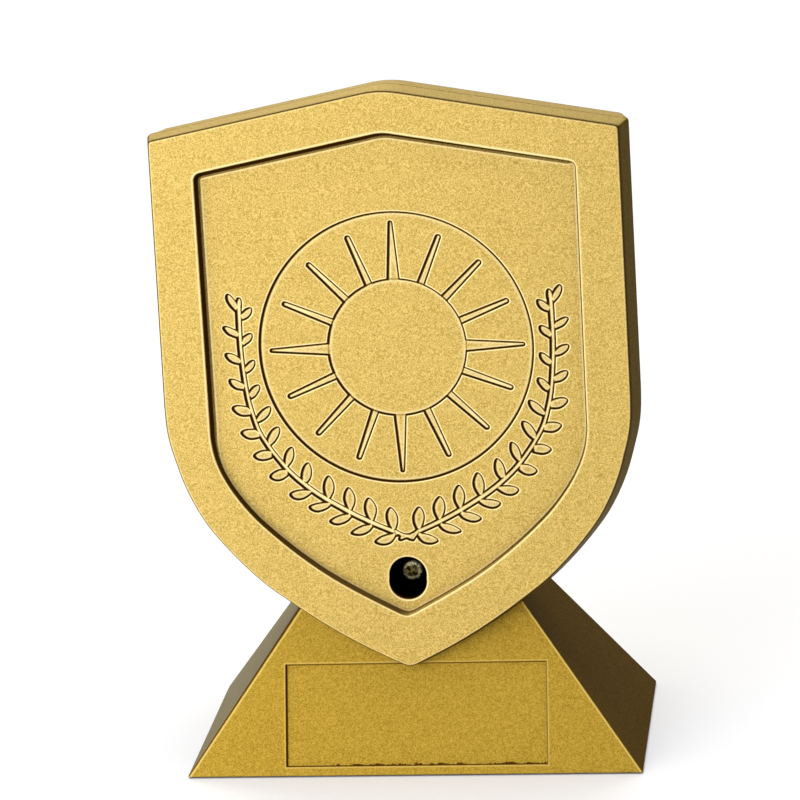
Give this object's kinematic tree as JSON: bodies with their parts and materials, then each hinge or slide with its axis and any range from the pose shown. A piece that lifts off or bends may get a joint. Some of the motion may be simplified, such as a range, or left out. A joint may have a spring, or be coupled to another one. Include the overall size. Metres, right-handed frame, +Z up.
{
  "type": "shield trophy",
  "caption": "Gold shield trophy with a sun and a laurel wreath engraved in a recessed panel, on a low four-sided pyramid foot with a seat for an engraved plate.",
  "frame": {"origin": "centre of the foot's footprint, on the surface that the trophy stands on", "axes": "+Z up, +X to the right of someone facing the side with the sun and the wreath, +Y away from them"},
  "size_m": [0.091, 0.0478, 0.1307],
  "materials": {
    "gold_paint": "black plastic sprayed with satin metallic gold paint, thin on the side walls",
    "screw_steel": "yellow zinc plated steel",
    "weight_iron": "rough cast",
    "black_plastic": "plain moulded black",
    "black_felt": "felt"
  },
  "bodies": {
    "root": {"shield_back_shell": "gold_paint", "shield_front_shell": "gold_paint", "base_shell": "gold_paint", "shield_fixing_screw": "screw_steel", "cover_screw_1": "screw_steel", "cover_screw_2": "screw_steel", "cover_screw_3": "screw_steel", "cover_screw_4": "screw_steel", "base_weight": "weight_iron", "base_cover": "black_plastic", "felt_pad": "black_felt"}
  },
  "joints": []
}
